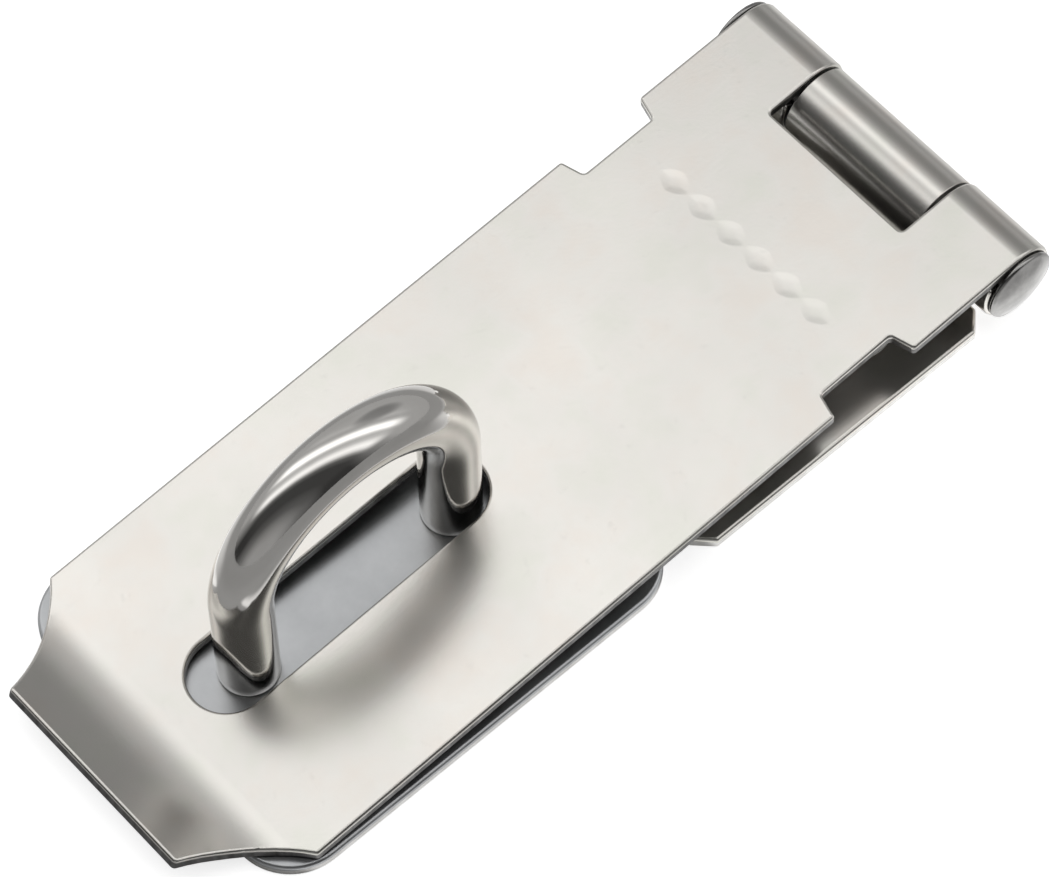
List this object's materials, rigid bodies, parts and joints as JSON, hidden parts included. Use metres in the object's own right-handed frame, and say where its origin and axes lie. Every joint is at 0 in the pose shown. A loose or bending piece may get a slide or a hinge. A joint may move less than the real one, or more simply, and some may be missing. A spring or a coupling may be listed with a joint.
{
  "type": "hasp and staple",
  "caption": "Stainless steel hasp and staple: a hinged leaf whose slot closes over a round-bar padlock staple riveted to its own plate.",
  "frame": {"origin": "middle of the closed hasp, on the face that lies against the door", "axes": "+X along the hasp towards its hinge, +Y along the hinge pin, +Z out from the door"},
  "size_m": [0.1028, 0.0408, 0.0292],
  "materials": {
    "satin_stainless": "satin cold-rolled stainless sheet",
    "drawn_stainless": "drawn stainless wire, cut and domed ends",
    "bright_stainless": "bright cold-rolled stainless sheet",
    "polished_stainless": "mirror-polished stainless bar"
  },
  "bodies": {
    "staple_unit": {"staple_plate": "bright_stainless", "staple": "polished_stainless"},
    "hinge_base": {"hinge_leaf": "satin_stainless", "hinge_pin": "drawn_stainless"},
    "hasp": {"hasp_leaf": "satin_stainless"}
  },
  "joints": [
    {"name": "staple_release", "type": "slide", "parent": "staple_unit", "child": "hinge_base", "axis": [0, 0, 1], "range_m": [0, 0.032]},
    {"name": "hasp_hinge", "type": "hinge", "parent": "hinge_base", "child": "hasp", "pos_m": [0.04717, 0, 0.0042], "axis": [0, 1, 0], "range_deg": [0, 181.5]}
  ]
}
